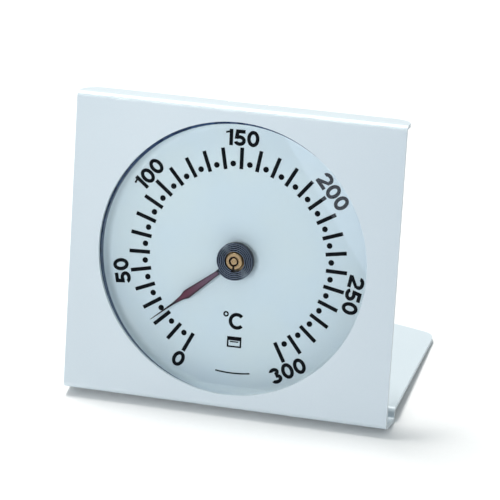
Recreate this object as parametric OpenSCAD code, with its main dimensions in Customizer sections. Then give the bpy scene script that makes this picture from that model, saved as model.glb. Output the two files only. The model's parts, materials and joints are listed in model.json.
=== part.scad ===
// Oven thermometer: a folded sheet stand that holds a round bimetal movement behind a window.
// Millimetres. +Z is up, the dial faces -Y, and X = 0 is the middle. Z = 0 is the shelf that it stands on.

/* [Stand] */
// Width of the stand
stand_w = 70; // [60:1:90]
// Height of the front panel, measured along the panel
panel_h = 63.5; // [63:0.5:66]
// Thickness of the sheet
sheet_t = 0.8; // [0.6:0.1:1.0]
// Inside radius of the folds
fold_r = 0.5; // [0.3:0.1:0.8]
// Radius of the window
window_r = 28.75; // [26:0.05:28.8]
// Depth of the top flange
flange_d = 7; // [6.8:0.1:9]
// Corner radius of the top flange
flange_corner_r = 4.5; // [2:0.5:6]
// Depth behind the panel at which the lip holds the case
lip_d = 7; // [7:0.1:9]
// Straight height of the lip between its two folds
lip_h = 0.6; // [0.2:0.1:2]
// Length of the foot plate behind the lip
foot_l = 40.2; // [30:0.2:45]
// Rise of the foot plate from square to the panel
foot_rise = 13; // [6:0.2:14]
// Radius of the bowed rear edge of the foot
foot_bow_r = 112; // [80:1:200]
// Corner radius of the foot
foot_corner_r = 3; // [1:0.5:6]
// Width of the tongue that holds the case at the top
tongue_w = 8; // [5:0.5:12]
// Length of the tongue below its fold
tongue_l = 6; // [3:0.5:10]

/* [Case] */
// Outside radius of the drawn case
case_r = 30.1; // [30.1:0.1:30.8]
// Wall thickness of the case
case_wall = 0.35; // [0.3:0.05:0.4]
// Thickness of the glass
lens_t = 1.5; // [1.2:0.1:1.6]
// Inside radius of the spacer ring
spacer_r = 28.8; // [28:0.1:29]

/* [Dial] */
// Depth of the dial face behind the front of the panel
dial_d = 5.3; // [5.25:0.05:5.3]
// Radius of the fillet at the rim of the dial
dial_fillet_r = 1.4; // [1:0.1:1.6]
// Turn of the dial in its case, clockwise
dial_turn = -0.9; // [-3:0.1:3]
// Angle that the scale turns through, in degrees
scale_sweep = 304.5; // [270:0.5:310]
// Highest temperature on the scale
scale_max = 300; // [200:50:350]
// Radius of the middle of the scale bars
bar_r = 21.25; // [18:0.05:21.3]
// Length of a scale bar
bar_l = 4.5; // [3:0.1:4.6]
// Width of a scale bar
bar_w = 0.8; // [0.4:0.05:1]
// Radius of the ring of dots between the bars
dot_ring_r = 20.1; // [17:0.1:21]
// Radius of a dot
dot_r = 0.6; // [0.3:0.01:0.7]
// Radius of the middle of the numerals
numeral_ring_r = 25.5; // [25.3:0.05:25.5]
// Height of the numerals
numeral_h = 3.4; // [3.1:0.05:3.4]
// Line width of the numerals
numeral_line = 0.76; // [0.4:0.01:0.8]

/* [Movement] */
// Temperature that the pointer shows at rest
rest_temp = 23; // [0:1:300]
// Outside radius of the brass bush
bush_r = 1.8; // [1.6:0.1:2.2]
// Depth of the front of the bush behind the front of the panel
bush_d = 2.6; // [2.55:0.05:2.65]
// Radius of the pin in the bush
pin_r = 0.7; // [0.5:0.05:0.75]
// Outside radius of the bimetal coil
coil_r = 4.1; // [3.8:0.1:4.6]
// Thickness of the bimetal strip
strip_t = 0.2; // [0.15:0.01:0.25]
// Width of the bimetal strip
strip_w = 1.7; // [1.2:0.1:1.8]
// Distance from the axis to the tip of the pointer
pointer_r = 23; // [18:0.1:24]
// Greatest width of the pointer
pointer_w = 1.9; // [1.4:0.1:2.4]

/* [Hidden] */
$fn = 96;

// Stand: folds, the foot and the lean that they give
fold_or = fold_r + sheet_t;
lip_back = lip_d + sheet_t;
foot_start_y = lip_back + fold_r - fold_r * sin(foot_rise);
foot_start_z = fold_or + lip_h + fold_r * cos(foot_rise);
foot_end_y = foot_start_y + foot_l * cos(foot_rise);
foot_end_z = foot_start_z + foot_l * sin(foot_rise);
heel_y = lip_back - fold_or;
heel_z = fold_or;
heel_to_toe = norm([foot_end_y - heel_y, foot_end_z - heel_z]);
lean = atan2(foot_end_z - heel_z, foot_end_y - heel_y) + asin(fold_or / heel_to_toe);
ground_z = heel_z * cos(lean) - heel_y * sin(lean) - fold_or;
front_y = fold_or * (cos(lean) + sin(lean) - 1);
toe_y = foot_end_y - sheet_t * sin(foot_rise);
toe_z = foot_end_z + sheet_t * cos(foot_rise);
back_y = toe_y * cos(lean) + toe_z * sin(lean);
middle_y = (front_y + back_y) / 2;
fold_steps = 12;
corner_overlap = 0.02;
relief_w = 0.7;
relief_l = 1;
tongue_gap = 0.05;

// Case and what it holds, as depths behind the front of the panel
gap = 0.05;
window_z = panel_h / 2;
case_z = sheet_t + gap + case_r;
case_front = sheet_t + gap;
case_back = lip_d - gap;
case_inner_r = case_r - case_wall;
case_floor = 0.4;
bead_r = 23;
bead_w = 4;
case_corner_r = 1.6;
lens_r = case_inner_r - 0.1;
lens_back = case_front + gap + lens_t;
dial_t = 0.5;
dial_flat_r = spacer_r - dial_fillet_r;
dial_r = spacer_r + dial_t;
spacer_back = dial_d - dial_fillet_r - gap;

// Print on the dial
ink_t = 0.05;
degree_angle = scale_sweep / scale_max;
bar_step = 10;
label_step = 50;
letter_gap = 0.2;

// Movement, as depths behind the front of the panel
bush_bore_r = 1.05;
bush_bore_back = 4.9;
bush_chamfer = 0.2;
bush_shoulder_r = 2.4;
bush_shoulder_d = 0.35;
shank_r = 1.2;
shank_hole_r = 1.22;
slot_w = 0.4;
washer_t = 0.25;
washer_r = 3;
head_r = 2.1;
head_t = 0.4;
pin_foot_t = 0.35;
strip_front = 2.7;
tail_front = 3.2;
coil_start_r = bush_r + 0.15;
coil_end_r = coil_r - strip_t / 2;
coil_start_angle = 180;
full_turns = 5;
coil_steps_per_turn = 48;
rest_angle = degree_angle * (rest_temp - scale_max / 2) + dial_turn;
coil_end_angle = 360 * (full_turns + 1) + rest_angle;
tab_t = 0.35;
tab_w = 1.15;
blade_front = 3.75;
blade_t = 0.2;
blade_root_r = coil_r + tab_t + 0.3;
blade_wide_r = 13.2;
blade_root_w = 0.95;
needle_w = 0.3;

// Stand the panel up on its lean, over the middle of its footprint
module lean_back() {
    translate([0, -middle_y, -ground_z])
        rotate([-lean, 0, 0])
            children();
}

// The dial seen from the front: X right, Y up, Z towards the viewer from the front of the panel
module face_on(centre_z) {
    lean_back()
        translate([0, 0, centre_z])
            rotate([90, 0, 0])
                children();
}

// A flat shape that lies between two depths behind the front of the panel
module slab(front, back, centre_z = case_z) {
    face_on(centre_z)
        translate([0, 0, -back])
            linear_extrude(back - front)
                children();
}

// Turn clockwise from 12 o'clock and move out to a radius
module on_dial(angle, radius) {
    rotate(-angle)
        translate([0, radius])
            children();
}

module ring_2d(outer, inner) {
    difference() {
        circle(outer);
        circle(inner);
    }
}

// ---- Stand ----

// Push a side view out to a width, centred on X = 0
module across(width) {
    translate([-width / 2, 0, 0])
        rotate([90, 0, 90])
            linear_extrude(width)
                children();
}

function left_of(heading) = [-sin(heading), cos(heading)];

// Points along one face of a folded sheet in side view, at a distance to the left of its right-hand face.
// Each straight length but the last ends in a fold, to the left where its turn is positive.
function sheet_face(at, heading, lengths, turns, offset, i = 0) =
    let (end = at + lengths[i] * [cos(heading), sin(heading)])
    let (first = i == 0 ? [at + offset * left_of(heading)] : [])
    i == len(turns)
        ? concat(first, [end + offset * left_of(heading)])
        : let (reach = turns[i] > 0 ? fold_or : -fold_r)
          let (centre = end + reach * left_of(heading))
          let (next = heading + turns[i])
          concat(
              first,
              [for (k = [0 : fold_steps]) centre - (reach - offset) * left_of(heading + turns[i] * k / fold_steps)],
              sheet_face(centre - reach * left_of(next), next, lengths, turns, offset, i + 1)
          );

function reversed(points) = [for (i = [len(points) - 1 : -1 : 0]) points[i]];

module sheet_section(at, heading, lengths, turns) {
    polygon(concat(
        sheet_face(at, heading, lengths, turns, 0),
        reversed(sheet_face(at, heading, lengths, turns, sheet_t))
    ));
}

// The folded sheet, from the rear of the top flange round to the end of the foot
module folded_sheet() {
    across(stand_w)
        sheet_section(
            [flange_d, panel_h],
            180,
            [flange_d - fold_or, panel_h - 2 * fold_or, lip_back - 2 * fold_or, lip_h, foot_l],
            [90, 90, 90, foot_rise - 90]
        );
}

// What is cut off a square corner to round it
module corner_waste(radius) {
    difference() {
        square(radius + 1);
        circle(radius);
    }
}

// What is cut off the end of the foot: it is left with a bowed edge and round corners.
// The corners stand a hair wide of the sides, so that they cross them and don't just touch.
module foot_waste() {
    bow_y = foot_l - foot_bow_r;
    corner_x = stand_w / 2 - foot_corner_r + corner_overlap;
    corner_rise = sqrt(pow(foot_bow_r - foot_corner_r, 2) - pow(corner_x, 2));
    translate([0, foot_start_y, foot_start_z])
        rotate([foot_rise, 0, 0])
            translate([0, bow_y, -sheet_t])
                linear_extrude(3 * sheet_t)
                    difference() {
                        translate([-stand_w / 2 - 1, corner_rise])
                            square([stand_w + 2, foot_l]);
                        for (side = [-1, 1])
                            translate([side * corner_x, corner_rise])
                                circle(foot_corner_r);
                        intersection() {
                            circle(foot_bow_r, $fn = 360);
                            polygon([[0, 0], 2 * [corner_x, corner_rise], 2 * [-corner_x, corner_rise]]);
                        }
                    }
}

module flange_waste() {
    for (side = [-1, 1])
        translate([side * (stand_w / 2 - flange_corner_r), flange_d - flange_corner_r, panel_h - 2 * sheet_t])
            linear_extrude(3 * sheet_t)
                rotate(side > 0 ? 0 : 90)
                    corner_waste(flange_corner_r);
    translate([-tongue_w / 2 - relief_w, flange_d - relief_l, panel_h - 2 * sheet_t])
        cube([tongue_w + 2 * relief_w, 2 * relief_l, 3 * sheet_t]);
}

// The tongue folds down behind the case from a notch in the rear edge of the top flange
module tongue() {
    root_y = flange_d - 2 * relief_l;
    fold_y = lip_d + tongue_gap - fold_r;
    across(tongue_w)
        sheet_section([root_y, panel_h - sheet_t], 0, [fold_y - root_y, tongue_l], [-90]);
}

module stand_frame() {
    color("lightsteelblue")
        lean_back() {
            difference() {
                folded_sheet();
                translate([0, -1, window_z])
                    rotate([-90, 0, 0])
                        cylinder(h = sheet_t + 2, r = window_r);
                flange_waste();
                foot_waste();
            }
            tongue();
        }
}

// ---- Case, glass and dial ----

// Spin an outline of [radius, height towards the viewer] round the dial axis
module turned() {
    face_on(case_z)
        rotate_extrude()
            children();
}

// Section of the raised ring in the case floor that the dial rests on, seen from one side of the sheet
module bead_section(half_top, height) {
    polygon([
        [bead_r - half_top - height, 0],
        [bead_r - half_top, height],
        [bead_r + half_top, height],
        [bead_r + half_top + height, 0]
    ]);
}

// The drawn shell: a floor, a round corner and a wall with a rounded rim
module case_shell() {
    rim_r = case_wall / 2;
    turned()
        translate([0, -case_back])
            square([case_r - case_corner_r, case_floor]);
    turned()
        intersection() {
            translate([case_r - case_corner_r, -case_back + case_corner_r])
                ring_2d(case_corner_r, case_corner_r - case_wall);
            translate([case_r - case_corner_r, -case_back])
                square(case_corner_r);
        }
    turned()
        translate([case_inner_r, -case_back + case_corner_r])
            square([case_wall, case_back - case_front - case_corner_r - rim_r]);
    turned()
        translate([case_inner_r + rim_r, -case_front - rim_r])
            circle(rim_r);
}

module rear_case() {
    bead_h = case_back - case_floor - dial_d - dial_t - gap;
    color("gainsboro")
        difference() {
            union() {
                case_shell();
                turned()
                    translate([0, -case_back + case_floor])
                        bead_section(bead_w / 2, bead_h);
            }
            turned()
                translate([0, -case_back])
                    bead_section(bead_w / 2 - case_floor / 2, bead_h);
            slab(case_back - 2 * case_floor, case_back + 1)
                circle(shank_hole_r);
        }
}

module front_lens() {
    color("lightcyan", 0.3)
        slab(case_front + gap, lens_back)
            circle(lens_r);
}

module spacer_ring() {
    color("slategray")
        slab(lens_back + gap, spacer_back)
            ring_2d(lens_r, spacer_r);
}

module dial_plate() {
    color("lightblue")
        turned()
            difference() {
                translate([shank_hole_r, -dial_d - dial_t])
                    square([dial_r - shank_hole_r, dial_t + dial_fillet_r]);
                translate([0, -dial_d])
                    square([dial_flat_r, 2 * dial_fillet_r]);
                translate([dial_flat_r, -dial_d + dial_fillet_r])
                    circle(dial_fillet_r);
            }
}

// ---- Print on the dial ----

module ink() {
    color("black")
        slab(dial_d - ink_t, dial_d)
            rotate(-dial_turn)
                children();
}

function angle_of(temp) = degree_angle * (temp - scale_max / 2);

module scale_bars() {
    ink()
        for (temp = [0 : bar_step : scale_max])
            on_dial(angle_of(temp), bar_r)
                square([bar_w, bar_l], center = true);
}

module scale_dots() {
    ink()
        for (temp = [bar_step / 2 : bar_step : scale_max])
            on_dial(angle_of(temp), dot_ring_r)
                circle(dot_r, $fn = 32);
}

function ellipse_point(centre, radii, angle) = centre + [radii.x * cos(angle), radii.y * sin(angle)];

// A stroke of the given width along part of an ellipse
module arc_stroke(centre, radii, from, to, width) {
    steps = 28;
    half = [width / 2, width / 2];
    polygon(concat(
        [for (i = [0 : steps]) ellipse_point(centre, radii + half, from + (to - from) * i / steps)],
        [for (i = [steps : -1 : 0]) ellipse_point(centre, radii - half, from + (to - from) * i / steps)]
    ));
}

function oval(centre, radii) = [for (i = [1 : 56]) ellipse_point(centre, radii, 360 * i / 56)];

module oval_stroke(centre, radii, width) {
    half = [width / 2, width / 2];
    difference() {
        polygon(oval(centre, radii + half));
        polygon(oval(centre, radii - half));
    }
}

// Digits stand on Y = 0 with X = 0 at their left side. w is their width, h their height, s their line width.
function digit_w(d, h) = h * (d == 1 ? 0.45 : 0.77);

module digit(d, h, s) {
    w = digit_w(d, h);
    if (d == 0) {
        oval_stroke([w / 2, h / 2], [(w - s) / 2, (h - s) / 2], s);
    }
    if (d == 1) {
        translate([w - s, 0])
            square([s, h]);
        polygon([[0, h * 0.72], [w - s / 2, h * 0.8], [w - s / 2, h], [w - s, h], [w * 0.45, h * 0.88], [0, h * 0.85]]);
    }
    if (d == 2) {
        arc_stroke([w * 0.5, h * 0.69], [(w - s) / 2, h * 0.31 - s / 2], -35, 180, s);
        polygon([[0, 0], [0, s], [w * 0.74, h * 0.6], [w * 0.98, h * 0.5], [w * 0.42, s * 0.9], [w * 0.3, 0]]);
        square([w, s]);
    }
    if (d == 3) {
        arc_stroke([w * 0.48, h * 0.735], [w * 0.42 - s / 2, h * 0.265 - s / 2], -90, 165, s);
        arc_stroke([w * 0.48, h * 0.29], [w * 0.48 - s / 2, h * 0.29 - s / 2], -165, 90, s);
    }
    if (d == 5) {
        arc_stroke([w * 0.47, h * 0.33], [w * 0.5 - s / 2, h * 0.33 - s / 2], -160, 135, s);
        translate([w * 0.18, h - s])
            square([w * 0.74, s]);
        polygon([[w * 0.06, h * 0.42], [w * 0.16, h], [w * 0.16 + s, h], [w * 0.08 + s, h * 0.42]]);
    }
}

function digits_of(number) =
    number < 10 ? [number] : concat(digits_of(floor(number / 10)), [number % 10]);

// Where each digit of a label starts, and the width of the whole label
function label_x(digits, i, h) = i == 0 ? 0 : label_x(digits, i - 1, h) + digit_w(digits[i - 1], h) + letter_gap;
function label_w(digits, h) = label_x(digits, len(digits), h) - letter_gap;

module label(number, h, s) {
    digits = digits_of(number);
    for (i = [0 : len(digits) - 1])
        translate([label_x(digits, i, h) - label_w(digits, h) / 2, -h / 2])
            digit(digits[i], h, s);
}

// The first and last numbers stand with their feet outwards, so that they read the right way up
module scale_numerals() {
    ink()
        for (temp = [0 : label_step : scale_max])
            on_dial(angle_of(temp), numeral_ring_r)
                rotate(temp == 0 || temp == scale_max ? 180 : 0)
                    label(temp, numeral_h, numeral_line);
}

module unit_mark() {
    ink() {
        arc_stroke([0.5, -13.2], [1.4, 1.42], 42, 318, 0.74);
        translate([-1.9, -11.85])
            ring_2d(0.6, 0.28);
    }
}

// A plain oven: a box with a door and a row of knobs above it
module oven_symbol() {
    oven = [3.1, 2.3];
    line = 0.32;
    ink()
        translate([0.1, -17.7]) {
            difference() {
                square(oven, center = true);
                translate([0, -0.25])
                    square([oven.x - 2 * line, oven.y - 2 * line - 0.5], center = true);
            }
            translate([0, 0.05])
                square([oven.x - 4 * line, 0.26], center = true);
        }
}

// A thin line that follows the rim at the foot of the dial
module footer_line() {
    footer_r = 24.4;
    footer_half_angle = 8.8;
    ink()
        arc_stroke([0, 0], [footer_r, footer_r], 270 - footer_half_angle, 270 + footer_half_angle, 0.3);
}

// ---- Movement ----

module centre_bush() {
    front = -bush_d;
    shoulder_front = -dial_d + bush_shoulder_d;
    washer_back = -case_back - gap - washer_t;
    color("goldenrod")
        difference() {
            turned()
                difference() {
                    polygon([
                        [0, front],
                        [bush_r - bush_chamfer, front],
                        [bush_r, front - bush_chamfer],
                        [bush_r, shoulder_front],
                        [bush_shoulder_r, shoulder_front],
                        [bush_shoulder_r, -dial_d],
                        [shank_r, -dial_d],
                        [shank_r, washer_back],
                        [head_r, washer_back],
                        [head_r * 0.6, washer_back - head_t],
                        [0, washer_back - head_t]
                    ]);
                    translate([-1, -bush_bore_back])
                        square([1 + bush_bore_r, 10]);
                }
            slab(0, bush_bore_back)
                translate([-slot_w / 2, -2 * bush_r])
                    square([slot_w, 2 * bush_r]);
        }
}

module centre_pin() {
    color("gold")
        turned()
            polygon([
                [0, -bush_d],
                [pin_r - 0.1, -bush_d],
                [pin_r, -bush_d - 0.1],
                [pin_r, -bush_bore_back + pin_foot_t],
                [bush_bore_r - 0.01, -bush_bore_back + pin_foot_t],
                [bush_bore_r - 0.01, -bush_bore_back],
                [0, -bush_bore_back]
            ]);
}

module rear_washer() {
    color("silver")
        slab(case_back + gap / 2, case_back + gap / 2 + washer_t)
            ring_2d(washer_r, shank_hole_r);
}

// A point on the spiral, at a share of its turning, offset to one side of the middle of the strip
function coil_point(share, offset) =
    let (angle = coil_start_angle + (coil_end_angle - coil_start_angle) * share)
    let (radius = coil_start_r + strip_t / 2 + (coil_end_r - coil_start_r - strip_t / 2) * share + offset)
    [radius * sin(angle), radius * cos(angle)];

module strip_slab(front = strip_front) {
    slab(front, strip_front + strip_w)
        children();
}

// A spiral strip. Its narrower tail passes through the slot of the bush and hooks round the pin.
module bimetal_coil() {
    steps = round(coil_steps_per_turn * (coil_end_angle - coil_start_angle) / 360);
    hook_r = pin_r + 0.03 + strip_t / 2;
    color("midnightblue") {
        strip_slab()
            polygon(concat(
                [for (i = [0 : steps]) coil_point(i / steps, strip_t / 2)],
                [for (i = [steps : -1 : 0]) coil_point(i / steps, -strip_t / 2)]
            ));
        strip_slab(tail_front)
            translate([-strip_t / 2, -coil_start_r - strip_t / 2])
                square([strip_t, coil_start_r + strip_t / 2 - hook_r]);
        strip_slab(tail_front)
            arc_stroke([0, 0], [hook_r, hook_r], -90, 225, strip_t);
    }
}

// The pointer at its rest angle, pointing along +Y before it is turned
module pointer_2d() {
    neck_r = blade_wide_r + 1.2;
    needle_r = blade_wide_r + 3.6;
    polygon([
        [-blade_root_w / 2, blade_root_r],
        [-pointer_w / 2, blade_wide_r],
        [-pointer_w * 0.27, neck_r],
        [-needle_w / 2 - 0.08, needle_r],
        [-needle_w / 4, pointer_r],
        [needle_w / 4, pointer_r],
        [needle_w / 2 + 0.08, needle_r],
        [pointer_w * 0.27, neck_r],
        [pointer_w / 2, blade_wide_r],
        [blade_root_w / 2, blade_root_r]
    ]);
}

module pointer() {
    color([0.36, 0.2, 0.3]) {
        slab(blade_front, blade_front + blade_t)
            rotate(-rest_angle) {
                pointer_2d();
                translate([-blade_root_w / 2, coil_r + 0.02])
                    square([blade_root_w, blade_root_r - coil_r]);
            }
        slab(strip_front + 0.1, blade_front + blade_t)
            rotate(-rest_angle)
                translate([-tab_w / 2, coil_r + 0.02])
                    square([tab_w, tab_t]);
    }
}

module solder_joint() {
    color("silver")
        slab(blade_front - 0.2, blade_front)
            rotate(-rest_angle)
                translate([-blade_root_w / 2, coil_r + 0.02 + tab_t])
                    square([blade_root_w, 0.25]);
}

stand_frame();
rear_case();
front_lens();
spacer_ring();
dial_plate();
scale_bars();
scale_dots();
scale_numerals();
unit_mark();
oven_symbol();
footer_line();
centre_bush();
centre_pin();
rear_washer();
bimetal_coil();
pointer();
solder_joint();
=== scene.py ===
"""Oven thermometer: a satin lacquered sheet stand with a bimetal dial movement behind glass."""

import json
import math

import bmesh
import bpy
import numpy as np
from mathutils import Matrix, Vector


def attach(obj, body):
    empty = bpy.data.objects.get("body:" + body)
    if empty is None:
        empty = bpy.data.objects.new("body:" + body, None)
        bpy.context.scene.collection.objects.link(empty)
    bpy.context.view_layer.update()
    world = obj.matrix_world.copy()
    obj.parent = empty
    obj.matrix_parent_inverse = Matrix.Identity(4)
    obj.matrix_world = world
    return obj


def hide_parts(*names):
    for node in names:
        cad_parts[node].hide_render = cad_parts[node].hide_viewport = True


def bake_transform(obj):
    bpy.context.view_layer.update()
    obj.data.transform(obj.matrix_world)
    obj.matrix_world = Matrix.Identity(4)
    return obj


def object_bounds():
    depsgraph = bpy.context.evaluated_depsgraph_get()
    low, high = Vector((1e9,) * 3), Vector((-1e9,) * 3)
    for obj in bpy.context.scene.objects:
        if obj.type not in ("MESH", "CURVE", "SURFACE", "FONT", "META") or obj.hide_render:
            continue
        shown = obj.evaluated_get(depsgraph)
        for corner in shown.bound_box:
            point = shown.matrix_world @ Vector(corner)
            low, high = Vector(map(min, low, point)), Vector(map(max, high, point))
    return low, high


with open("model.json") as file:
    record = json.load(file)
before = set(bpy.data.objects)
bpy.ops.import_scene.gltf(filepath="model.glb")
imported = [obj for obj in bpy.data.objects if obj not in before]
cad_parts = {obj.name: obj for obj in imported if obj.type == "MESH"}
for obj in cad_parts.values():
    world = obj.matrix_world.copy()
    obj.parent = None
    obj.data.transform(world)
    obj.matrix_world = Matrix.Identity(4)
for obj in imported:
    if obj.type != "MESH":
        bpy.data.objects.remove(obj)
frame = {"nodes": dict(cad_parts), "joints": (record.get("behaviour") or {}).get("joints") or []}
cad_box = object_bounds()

MM = 0.001
NODES = frame["nodes"]
JOINT = frame["joints"][0]
BOX_LOW, BOX_HIGH = cad_box
BOX_MIDDLE = (BOX_LOW + BOX_HIGH) / 2

# The dial's own frame: X right, Y up and Z towards the viewer, from the axis at the dial face
DIAL_CENTRE = Vector(JOINT["pos_m"])
DIAL_NORMAL = -Vector(JOINT["axis"]).normalized()
DIAL_RIGHT = Vector((1, 0, 0))
DIAL_UP = DIAL_NORMAL.cross(DIAL_RIGHT)
DIAL_TURN = math.atan2(DIAL_UP.z, DIAL_UP.y)


def dial_coordinates(points):
    """Points in the shared frame as an array of (right, up, towards the viewer) in the dial's frame."""
    axes = np.array([DIAL_RIGHT, DIAL_UP, DIAL_NORMAL])
    return (np.asarray(points, float) - np.array(DIAL_CENTRE)) @ axes.T


def from_dial(x, y, z):
    return DIAL_CENTRE + float(x) * DIAL_RIGHT + float(y) * DIAL_UP + float(z) * DIAL_NORMAL


def node_points(name):
    return np.array([v.co for v in NODES[name].data.vertices], float)


def pointer_rest_angle():
    """Clockwise from 12 o'clock, in radians, in -pi..pi."""
    points = dial_coordinates(node_points("pointer"))
    tip = points[np.argmax(np.hypot(points[:, 0], points[:, 1]))]
    return math.atan2(tip[0], tip[1])


REST_ANGLE = pointer_rest_angle()


# ---- Meshes ----

MERGE_DISTANCE = 0.002 * MM
FLAT_ANGLE = math.radians(0.3)
SHARP_ANGLE = math.radians(38)
STRIP_SHARP_ANGLE = math.radians(50)
BEVEL_SEGMENTS = 2


def link(mesh, name):
    piece = bpy.data.objects.new(name, mesh)
    bpy.context.scene.collection.objects.link(piece)
    return piece


def is_sharp(edge, angle):
    return len(edge.link_faces) == 2 and edge.calc_face_angle(0) > angle


def bevelled_copy(node, name, width):
    """A copy of a CAD node with its sharp edges rounded; a face attribute named edge marks the rounds."""
    mesh = NODES[node].data.copy()
    mesh.name = name
    bm = bmesh.new()
    bm.from_mesh(mesh)
    bmesh.ops.remove_doubles(bm, verts=bm.verts, dist=MERGE_DISTANCE)
    bmesh.ops.dissolve_limit(bm, angle_limit=FLAT_ANGLE, verts=bm.verts, edges=bm.edges)
    mark = bm.faces.layers.float.new("edge")
    edges = [e for e in bm.edges if is_sharp(e, SHARP_ANGLE)]
    made = bmesh.ops.bevel(
        bm, geom=edges, offset=width, offset_type="OFFSET", segments=BEVEL_SEGMENTS,
        profile=0.5, affect="EDGES", clamp_overlap=True, loop_slide=True,
    )
    for face in made["faces"]:
        face[mark] = 1.0
    for face in bm.faces:
        face.smooth = True
    for edge in bm.edges:
        edge.smooth = not is_sharp(edge, SHARP_ANGLE)
    bm.to_mesh(mesh)
    bm.free()
    if "custom_normal" in mesh.attributes:
        mesh.attributes.remove(mesh.attributes["custom_normal"])
    piece = link(mesh, name)
    weighted = piece.modifiers.new("even_shading", "WEIGHTED_NORMAL")
    weighted.keep_sharp = True
    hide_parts(node)
    return piece


def strip_sections(path, fronts, back, thickness, chamfer):
    """Rings of points round a strip that stands on edge and follows path, a list of (x, y) on the dial.

    fronts holds the height of its front edge at each point of the path."""
    path = np.array(path)
    ahead = np.gradient(path, axis=0)
    ahead /= np.linalg.norm(ahead, axis=1)[:, None]
    side = np.stack([-ahead[:, 1], ahead[:, 0]], 1)
    half = thickness / 2
    rings = []
    for centre, across, front in zip(path, side, fronts):
        outline = [
            (half, back + chamfer), (half, front - chamfer), (half - chamfer, front), (chamfer - half, front),
            (-half, front - chamfer), (-half, back + chamfer), (chamfer - half, back), (half - chamfer, back),
        ]
        rings.append([from_dial(*(centre + offset * across), height) for offset, height in outline])
    return rings


def tube_mesh(name, rings, bare_sides, bare_from):
    """A closed mesh through rings with the same number of points each.

    The sides in bare_sides are marked edge from the ring bare_from onwards."""
    bm = bmesh.new()
    rows = [[bm.verts.new(p) for p in ring] for ring in rings]
    count = len(rows[0])
    mark = bm.faces.layers.float.new("edge")
    for step, (low, high) in enumerate(zip(rows, rows[1:])):
        for i in range(count):
            face = bm.faces.new([low[i], low[(i + 1) % count], high[(i + 1) % count], high[i]])
            face[mark] = float(step >= bare_from and i in bare_sides)
    bm.faces.new(rows[0][::-1])
    bm.faces.new(rows[-1])
    bmesh.ops.recalc_face_normals(bm, faces=bm.faces)
    for face in bm.faces:
        face.smooth = True
    for edge in bm.edges:
        edge.smooth = not is_sharp(edge, STRIP_SHARP_ANGLE)
    mesh = bpy.data.meshes.new(name)
    bm.to_mesh(mesh)
    bm.free()
    return mesh


# ---- Node helpers ----

def add(tree, kind, settings=None, **inputs):
    """A shader node. An input is a value or another node's output socket."""
    made = tree.nodes.new("ShaderNode" + kind)
    for key, value in (settings or {}).items():
        setattr(made, key, value)
    for key, value in inputs.items():
        socket = made.inputs[key.replace("_", " ")]
        if isinstance(value, bpy.types.NodeSocket):
            tree.links.new(value, socket)
        else:
            socket.default_value = value
    return made


def maths(tree, operation, first, second=0.0):
    made = tree.nodes.new("ShaderNodeMath")
    made.operation = operation
    for socket, value in zip(made.inputs, (first, second)):
        if isinstance(value, bpy.types.NodeSocket):
            tree.links.new(value, socket)
        else:
            socket.default_value = value
    return made.outputs[0]


def mix_colours(tree, factor, first, second):
    made = add(tree, "Mix", {"data_type": "RGBA"})
    for index, value in ((0, factor), (6, first), (7, second)):
        if isinstance(value, bpy.types.NodeSocket):
            tree.links.new(value, made.inputs[index])
        else:
            made.inputs[index].default_value = value
    return made.outputs[2]


def spread(tree, value, low, high, to_low, to_high, smooth=False):
    """Map a value from one range to another, kept within it."""
    settings = {"interpolation_type": "SMOOTHSTEP" if smooth else "LINEAR"}
    made = add(
        tree, "MapRange", settings, Value=value,
        From_Min=low, From_Max=high, To_Min=to_low, To_Max=to_high,
    )
    return made.outputs[0]


def noise(tree, where, scale, detail=3.0, roughness=0.5, stretch=None):
    if stretch:
        where = add(tree, "Mapping", Vector=where, Scale=stretch).outputs[0]
    made = add(tree, "TexNoise", Vector=where, Scale=scale, Detail=detail, Roughness=roughness)
    return made.outputs[0]


def bump(tree, height, distance, strength=1.0, normal=None):
    made = add(tree, "Bump", Height=height, Distance=distance, Strength=strength)
    if normal:
        tree.links.new(normal, made.inputs["Normal"])
    return made.outputs[0]


def colour(red, green, blue):
    """A linear colour from 0 to 255 display values."""
    def linear(value):
        share = value / 255
        return share / 12.92 if share <= 0.04045 else ((share + 0.055) / 1.055) ** 2.4
    return (linear(red), linear(green), linear(blue), 1.0)


def new_material(name, **sockets):
    """A material with one Principled shader; constants go on its own sockets."""
    made = bpy.data.materials.new(name)
    made.use_nodes = True
    tree = made.node_tree
    shader = tree.nodes["Principled BSDF"]
    for key, value in sockets.items():
        shader.inputs[key.replace("_", " ")].default_value = value
    where = add(tree, "TexCoord").outputs["Object"]
    return made, tree, shader, where


def on_dial(tree, where):
    """Coordinates in the dial's own frame, in millimetres."""
    turned = add(
        tree, "Mapping", {"vector_type": "TEXTURE"}, Vector=where,
        Location=DIAL_CENTRE, Rotation=(DIAL_TURN, 0, 0), Scale=(MM, MM, MM),
    )
    return turned.outputs[0]


def radius_on_dial(tree, where):
    parts = add(tree, "SeparateXYZ", Vector=on_dial(tree, where))
    flat = add(tree, "CombineXYZ", X=parts.outputs[0], Y=parts.outputs[1])
    return add(tree, "VectorMath", {"operation": "LENGTH"}, Vector=flat.outputs[0]).outputs["Value"]


def edge_mark(tree):
    return add(tree, "Attribute", {"attribute_name": "edge"}).outputs["Fac"]


def drive(tree, shader, **sockets):
    for key, value in sockets.items():
        tree.links.new(value, shader.inputs[key.replace("_", " ")])


# ---- Materials ----

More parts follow.
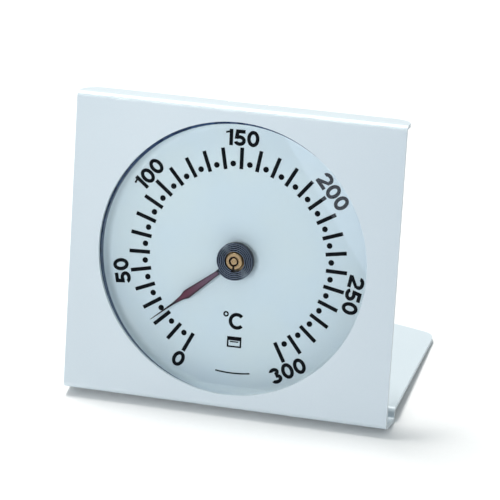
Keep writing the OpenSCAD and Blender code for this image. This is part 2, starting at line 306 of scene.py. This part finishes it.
def stand_lacquer():
    """Satin lacquer, thinner and more metallic on the sheet's edges."""
    made, tree, shader, where = new_material(
        "stand_lacquer", Specular_IOR_Level=0.3, Coat_Weight=0.1, Coat_Roughness=0.28
    )
    cloud = noise(tree, where, 34, 4)
    grain = noise(tree, where, 5200, 2)
    flow = noise(tree, where, 900, 3, stretch=(1, 1, 0.08))
    tone = mix_colours(tree, cloud, colour(203, 214, 220), colour(211, 220, 225))
    tone = mix_colours(tree, spread(tree, grain, 0.3, 0.7, 0.0, 0.10), tone, colour(176, 192, 206))
    worn = spread(tree, noise(tree, where, 420, 4), 0.38, 0.62, 0.15, 0.85)
    edge = maths(tree, "MULTIPLY", edge_mark(tree), worn)
    tone = mix_colours(tree, edge, tone, colour(232, 238, 241))
    shine = spread(tree, flow, 0.3, 0.7, 0.40, 0.47)
    relief = bump(tree, grain, 0.004 * MM, 0.5)
    relief = bump(tree, cloud, 0.02 * MM, 0.3, relief)
    metal = spread(tree, edge, 0, 1, 0.12, 0.5)
    drive(tree, shader, Base_Color=tone, Roughness=shine, Normal=relief, Metallic=metal)
    return made


def case_metal():
    """Bare drawn aluminium with faint rings round its middle."""
    made, tree, shader, where = new_material("case_metal", Metallic=1.0, Anisotropic=0.3)
    rings = noise(tree, add(tree, "CombineXYZ", X=radius_on_dial(tree, where)).outputs[0], 9, 5, 0.7)
    cloud = noise(tree, where, 60, 4)
    tone = mix_colours(tree, cloud, colour(196, 199, 203), colour(216, 218, 220))
    dull = spread(tree, cloud, 0.3, 0.7, 0.0, 0.08)
    shine = maths(tree, "ADD", spread(tree, rings, 0.3, 0.7, 0.26, 0.38), dull)
    drive(tree, shader, Base_Color=tone, Roughness=shine, Normal=bump(tree, rings, 0.006 * MM, 0.5))
    return made


def lens_glass():
    """Clear glass, which lets the lamps' light straight through to what it covers."""
    made, tree, shader, where = new_material(
        "lens_glass", Base_Color=(0.965, 0.99, 0.985, 1), Transmission_Weight=1.0, IOR=1.5
    )
    smear = noise(tree, where, 55, 3)
    drive(tree, shader, Roughness=spread(tree, smear, 0.45, 0.75, 0.0, 0.01))
    clear = add(tree, "BsdfTransparent", Color=(0.93, 0.96, 0.96, 1))
    rays = add(tree, "LightPath")
    surface = shader.outputs[0]
    for kind in ("Is Diffuse Ray", "Is Shadow Ray"):
        both = add(tree, "MixShader")
        tree.links.new(rays.outputs[kind], both.inputs[0])
        tree.links.new(surface, both.inputs[1])
        tree.links.new(clear.outputs[0], both.inputs[2])
        surface = both.outputs[0]
    tree.links.new(surface, tree.nodes["Material Output"].inputs["Surface"])
    return made


def polished_ring():
    made, tree, shader, where = new_material("polished_ring", Metallic=0.6)
    rings = noise(tree, on_dial(tree, where), 2.5, 3, stretch=(0.15, 0.15, 8))
    # The ring's dark navy colour is painted shade: it stands in for the shaded wall of the window.
    tone = mix_colours(tree, rings, colour(46, 64, 98), colour(70, 92, 128))
    drive(tree, shader, Base_Color=tone, Roughness=spread(tree, rings, 0.3, 0.7, 0.22, 0.34))
    return made


def dial_paint():
    made, tree, shader, where = new_material(
        "dial_paint", Metallic=0.05, Coat_Weight=0.1, Coat_Roughness=0.35
    )
    cloud = noise(tree, where, 70, 3)
    grain = noise(tree, where, 7000, 2)
    patches = spread(tree, cloud, 0.35, 0.65, 0, 1)
    tone = mix_colours(tree, patches, colour(222, 232, 242), colour(226, 234, 240))
    tone = mix_colours(tree, spread(tree, grain, 0.35, 0.65, 0.0, 0.10), tone, colour(190, 208, 218))
    shine = spread(tree, cloud, 0.3, 0.7, 0.46, 0.54)
    relief = bump(tree, grain, 0.003 * MM, 0.4)
    drive(tree, shader, Base_Color=tone, Roughness=shine, Normal=relief)
    return made


def ink():
    made, tree, shader, where = new_material("ink", Specular_IOR_Level=0.08)
    grain = noise(tree, where, 6000, 3)
    tone = mix_colours(tree, grain, colour(4, 6, 11), colour(11, 14, 21))
    shine = spread(tree, grain, 0.3, 0.7, 0.42, 0.6)
    relief = bump(tree, grain, 0.004 * MM, 0.5)
    drive(tree, shader, Base_Color=tone, Roughness=shine, Normal=relief)
    return made


def brass():
    made, tree, shader, where = new_material("brass", Metallic=1.0)
    turning = noise(tree, add(tree, "CombineXYZ", X=radius_on_dial(tree, where)).outputs[0], 9, 3, 0.6)
    cloud = noise(tree, where, 420, 3)
    tone = mix_colours(tree, cloud, colour(218, 176, 128), colour(232, 196, 152))
    # The bevelled rims are painted a lighter brass: a painted highlight.
    tone = mix_colours(tree, edge_mark(tree), tone, colour(246, 220, 186))
    shine = spread(tree, turning, 0.3, 0.7, 0.24, 0.34)
    relief = bump(tree, turning, 0.002 * MM, 0.4)
    drive(tree, shader, Base_Color=tone, Roughness=shine, Normal=relief)
    return made


def washer_steel():
    made, tree, shader, where = new_material("washer_steel", Metallic=1.0)
    grain = noise(tree, where, 1800, 4)
    tone = mix_colours(tree, grain, colour(150, 152, 156), colour(190, 192, 196))
    shine = spread(tree, grain, 0.3, 0.7, 0.3, 0.5)
    relief = bump(tree, grain, 0.006 * MM, 0.5)
    drive(tree, shader, Base_Color=tone, Roughness=shine, Normal=relief)
    return made


def bimetal():
    """Blued steel with bare cut edges."""
    made, tree, shader, where = new_material("bimetal", Metallic=1.0)
    streak = noise(tree, on_dial(tree, where), 3.0, 4, stretch=(0.6, 0.6, 5))
    cut = noise(tree, where, 3200, 3)
    tone = mix_colours(tree, streak, colour(9, 11, 22), colour(26, 31, 52))
    bare = mix_colours(tree, cut, colour(118, 128, 150), colour(156, 166, 186))
    tone = mix_colours(tree, edge_mark(tree), tone, bare)
    drive(tree, shader, Base_Color=tone, Roughness=spread(tree, streak, 0.3, 0.7, 0.26, 0.42))
    return made


POINTER_REACH = 23
# Half the pointer's width at each distance from the axis, as (distance, half width), in millimetres
POINTER_OUTLINE = ((4.8, 0.47), (13.2, 1.0), (14.4, 0.54), (16.8, 0.23), (POINTER_REACH, 0.08))


def on_pointer(tree, where):
    """Distance along the pointer from the axis and distance from its middle line, in millimetres."""
    turned = add(
        tree, "Mapping", {"vector_type": "TEXTURE"}, Vector=on_dial(tree, where), Rotation=(0, 0, -REST_ANGLE)
    )
    parts = add(tree, "SeparateXYZ", Vector=turned.outputs[0])
    return parts.outputs[1], maths(tree, "ABSOLUTE", parts.outputs[0])


def pointer_lacquer():
    """Plum lacquer, darker towards its edges and on the needle, with the bent tab at its root painted dark as
    painted shade.
    """
    made, tree, shader, where = new_material(
        "pointer_lacquer", Metallic=0.2, Coat_Weight=0.3, Coat_Roughness=0.15
    )
    along, off_middle = on_pointer(tree, where)
    width = add(tree, "ValToRGB", Fac=maths(tree, "DIVIDE", along, POINTER_REACH))
    stops = width.color_ramp.elements
    while len(stops) < len(POINTER_OUTLINE):
        stops.new(0.5)
    for stop, (distance, half_width) in zip(stops, POINTER_OUTLINE):
        stop.position = distance / POINTER_REACH
        stop.color = (half_width, half_width, half_width, 1)
    rim = spread(tree, maths(tree, "DIVIDE", off_middle, width.outputs[0]), 0.35, 0.85, 0.0, 1.0, smooth=True)
    needle = spread(tree, along, 14.5, 16.5, 0.0, 1.0, smooth=True)
    # The bent tab at the root is painted near black: painted shade on its face.
    tab = spread(tree, along, 4.45, 4.6, 1.0, 0.0)
    grain = noise(tree, where, 2600, 3)
    tone = mix_colours(tree, spread(tree, along, 7, 13, 0, 1), colour(116, 86, 106), colour(108, 50, 70))
    tone = mix_colours(tree, spread(tree, grain, 0.3, 0.7, 0, 0.25), tone, colour(84, 44, 60))
    dark = maths(tree, "MAXIMUM", maths(tree, "MULTIPLY", rim, 0.85), maths(tree, "MAXIMUM", needle, tab))
    tone = mix_colours(tree, dark, tone, colour(34, 22, 34))
    shine = spread(tree, grain, 0.3, 0.7, 0.32, 0.45)
    drive(tree, shader, Base_Color=tone, Roughness=shine, Normal=bump(tree, grain, 0.003 * MM, 0.5))
    return made


def solder():
    made, tree, shader, where = new_material("solder", Metallic=1.0)
    lumps = noise(tree, where, 2400, 3)
    tone = mix_colours(tree, lumps, colour(206, 208, 216), colour(236, 238, 242))
    shine = spread(tree, lumps, 0.3, 0.7, 0.12, 0.28)
    relief = bump(tree, lumps, 0.02 * MM, 0.7)
    drive(tree, shader, Base_Color=tone, Roughness=shine, Normal=relief)
    return made


def floor_paper():
    made, tree, shader, where = new_material("floor_paper", Specular_IOR_Level=0.2)
    grain = noise(tree, where, 900, 3)
    tone = mix_colours(tree, grain, (0.83, 0.83, 0.83, 1), (0.86, 0.86, 0.86, 1))
    drive(tree, shader, Base_Color=tone, Roughness=spread(tree, grain, 0, 1, 0.8, 0.9))
    return made


def paint(piece, material):
    piece.data.materials.clear()
    piece.data.materials.append(material)


# ---- The bimetal coil ----

STRIP_THICKNESS = 0.2 * MM
STRIP_CHAMFER = 0.035 * MM
COIL_INNER_RADIUS = 2.05 * MM
COIL_FULL_TURNS = 5
COIL_STEPS_PER_TURN = 72
# The hook goes clockwise round the pin, between these directions in degrees from the dial's right
HOOK_START = 225
HOOK_END = -90
HOOK_STEPS = 39
HOOK_RADIUS = 0.83 * MM
TAIL_BEND = 0.25 * MM
TAIL_BEND_STEPS = 6
TAIL_CLEARANCE = 1.3
TAIL_RECESS = 0.5 * MM


def coil_path():
    """The strip's middle line on the dial from the hook outwards, with each point's share of the winding."""
    coil = dial_coordinates(node_points("bimetal_coil"))
    outer = np.hypot(coil[:, 0], coil[:, 1]).max() - STRIP_THICKNESS / 2
    path = []
    for angle in np.radians(np.linspace(HOOK_START, HOOK_END, HOOK_STEPS + 1)):
        path.append((HOOK_RADIUS * math.cos(angle), HOOK_RADIUS * math.sin(angle)))
    for angle in np.radians(np.linspace(0, 90, TAIL_BEND_STEPS + 1)):
        bend_x = TAIL_BEND * (math.cos(angle) - 1)
        bend_y = TAIL_BEND * (1 - math.sin(angle)) - COIL_INNER_RADIUS
        path.append((bend_x, bend_y))
    shares = [0.0] * len(path)
    start = math.pi + TAIL_BEND / COIL_INNER_RADIUS * TAIL_CLEARANCE
    end = 2 * math.pi * (COIL_FULL_TURNS + 1) + REST_ANGLE
    steps = round(COIL_STEPS_PER_TURN * (end - start) / (2 * math.pi))
    for share in np.linspace(0, 1, steps + 1):
        angle = start + (end - start) * share
        radius = COIL_INNER_RADIUS + (outer - COIL_INNER_RADIUS) * share
        path.append((radius * math.sin(angle), radius * math.cos(angle)))
        shares.append(share)
    return path, shares


def build_coil():
    """The strip as a mesh along its path from the hook outwards; the hook and tail stand lower at the front.
    """
    heights = dial_coordinates(node_points("bimetal_coil"))[:, 2]
    path, shares = coil_path()
    fronts = [heights.max() - (TAIL_RECESS if share == 0 else 0) for share in shares]
    rings = strip_sections(path, fronts, heights.min(), STRIP_THICKNESS, STRIP_CHAMFER)
    wound = np.flatnonzero(shares)[0]
    # Only the wound turns get the bare front edge; the hook and tail in the bush's slot stay dark there too,
    # a painted shade for the slot.
    coil = link(tube_mesh("bimetal_strip", rings, bare_sides=(2,), bare_from=wound), "bimetal_strip")
    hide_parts("bimetal_coil")
    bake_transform(coil)
    return coil


# ---- Pieces ----

ROUNDED = {
    # node: (piece, body, slot, bevel width in mm)
    "stand_frame": ("stand", "body", "stand_lacquer", 0.12),
    "rear_case": ("case", "body", "case_metal", 0.08),
    "centre_bush": ("bush", "body", "brass", 0.05),
    "centre_pin": ("pin", "body", "brass", 0.03),
    "rear_washer": ("washer", "body", "washer_steel", 0.05),
    "pointer": ("pointer_blade", "pointer", "pointer_lacquer", 0.05),
    "solder_joint": ("solder_bead", "pointer", "solder", 0.06),
}
AS_MADE = {
    "front_lens": "lens_glass",
    "spacer_ring": "polished_ring",
    "dial_plate": "dial_paint",
    "scale_bars": "ink",
    "scale_dots": "ink",
    "scale_numerals": "ink",
    "unit_mark": "ink",
    "oven_symbol": "ink",
    "footer_line": "ink",
}


def build_pieces():
    makers = (
        stand_lacquer, case_metal, lens_glass, polished_ring, dial_paint, ink, brass,
        washer_steel, bimetal, pointer_lacquer, solder,
    )
    finishes = {maker.__name__: maker() for maker in makers}
    for node, (name, body, slot, width) in ROUNDED.items():
        piece = bevelled_copy(node, name, width * MM)
        paint(piece, finishes[slot])
        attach(piece, body)
    for node, slot in AS_MADE.items():
        paint(NODES[node], finishes[slot])
    paint(build_coil(), finishes["bimetal"])


# ---- Studio ----

FLOOR_SIZE = 8


def build_floor():
    bpy.ops.mesh.primitive_plane_add(size=FLOOR_SIZE, location=(0, 0, 0))
    floor = bpy.context.object
    floor.name = "floor"
    paint(floor, floor_paper())


def add_softbox(name, place, aim, size, watts, tint, spread_angle=180, roll=0, mirrored=True):
    """A rectangular lamp. One that isn't mirrored lights the surfaces but shows in no reflection."""
    data = bpy.data.lights.new(name, "AREA")
    data.shape = "RECTANGLE"
    data.size, data.size_y = size
    data.energy = watts
    data.color = tint
    data.spread = math.radians(spread_angle)
    lamp = link(data, name)
    lamp.visible_glossy = mirrored
    lamp.visible_transmission = mirrored
    lamp.location = place
    turn = (aim - place).to_track_quat("-Z", "Y").to_matrix()
    lamp.rotation_euler = (turn @ Matrix.Rotation(math.radians(roll), 3, "Z")).to_euler()


def direction(azimuth, elevation):
    """From the object outwards: azimuth 0 is in front of it and positive to its right, in degrees."""
    a, e = math.radians(azimuth), math.radians(elevation)
    return Vector((math.sin(a) * math.cos(e), -math.cos(a) * math.cos(e), math.sin(e)))


def around(azimuth, elevation, distance):
    return BOX_MIDDLE + distance * direction(azimuth, elevation)


def build_world():
    """A studio that is bright overhead and dim at the horizon."""
    world = bpy.data.worlds.new("studio")
    bpy.context.scene.world = world
    world.use_nodes = True
    tree = world.node_tree
    height = add(tree, "SeparateXYZ", Vector=add(tree, "TexCoord").outputs["Generated"]).outputs[2]
    background = tree.nodes["Background"]
    background.inputs["Color"].default_value = (0.87, 0.945, 0.965, 1)
    tree.links.new(spread(tree, height, 0.10, 0.75, 0.03, 0.72, smooth=True), background.inputs["Strength"])


WARM_WHITE = (1.0, 0.98, 0.95)
COOL_WHITE = (0.75, 0.82, 0.97)
FRONT_BOX_SIZE = (0.20, 0.26)


def build_lights():
    """A lamp behind and above, a small key lamp, and a front lamp that the glass mirrors over the 200."""
    upper_left = Vector((BOX_LOW.x, BOX_MIDDLE.y, BOX_HIGH.z))
    above_left = upper_left + Vector((0.012, 0, 0.012))
    add_softbox("overhead", around(-138, 68, 0.7), BOX_MIDDLE, (0.22, 0.22), 5.00, WARM_WHITE)
    key_place = around(-14, 22, 0.42)
    key_size = (0.07, 0.07)
    add_softbox("key", key_place, above_left, key_size, 0.034, WARM_WHITE, spread_angle=40, mirrored=False)
    # Four boxes in one place, each a little smaller, give the front lamp a soft edge
    front_place = around(-4.8, 11.4, 0.6)
    for number, scale in enumerate((1.0, 0.98, 0.96, 0.94)):
        size = (FRONT_BOX_SIZE[0] * scale, FRONT_BOX_SIZE[1] * scale)
        add_softbox(f"front_{number}", front_place, BOX_MIDDLE, size, 0.15, COOL_WHITE, roll=37)


CAMERA_AZIMUTH = 17.0
CAMERA_ELEVATION = 27.7
CAMERA_ROLL = -1.17
CAMERA_DISTANCE = 0.6328
CAMERA_LENS = 216
AIM_RIGHT = -0.72 * MM
AIM_UP = -4.72 * MM


def build_camera():
    """The camera looks down on the object from its right, at a long focal length."""
    back = direction(CAMERA_AZIMUTH, CAMERA_ELEVATION)
    azimuth = math.radians(CAMERA_AZIMUTH)
    right = Vector((math.cos(azimuth), math.sin(azimuth), 0))
    aim = Vector((0, 0, BOX_MIDDLE.z + AIM_UP)) + right * AIM_RIGHT
    data = bpy.data.cameras.new("camera")
    data.lens = CAMERA_LENS
    data.sensor_width = 36
    data.clip_start = 0.01
    data.clip_end = 50
    camera = link(data, "camera")
    camera.location = aim + back * CAMERA_DISTANCE
    camera.rotation_mode = "QUATERNION"
    upright = (-back).to_track_quat("-Z", "Y")
    roll = Matrix.Rotation(math.radians(CAMERA_ROLL), 4, "Z").to_quaternion()
    camera.rotation_quaternion = upright @ roll
    bpy.context.scene.camera = camera


build_pieces()
build_floor()
build_world()
build_lights()
build_camera()
bpy.context.scene.view_settings.view_transform = "Standard"
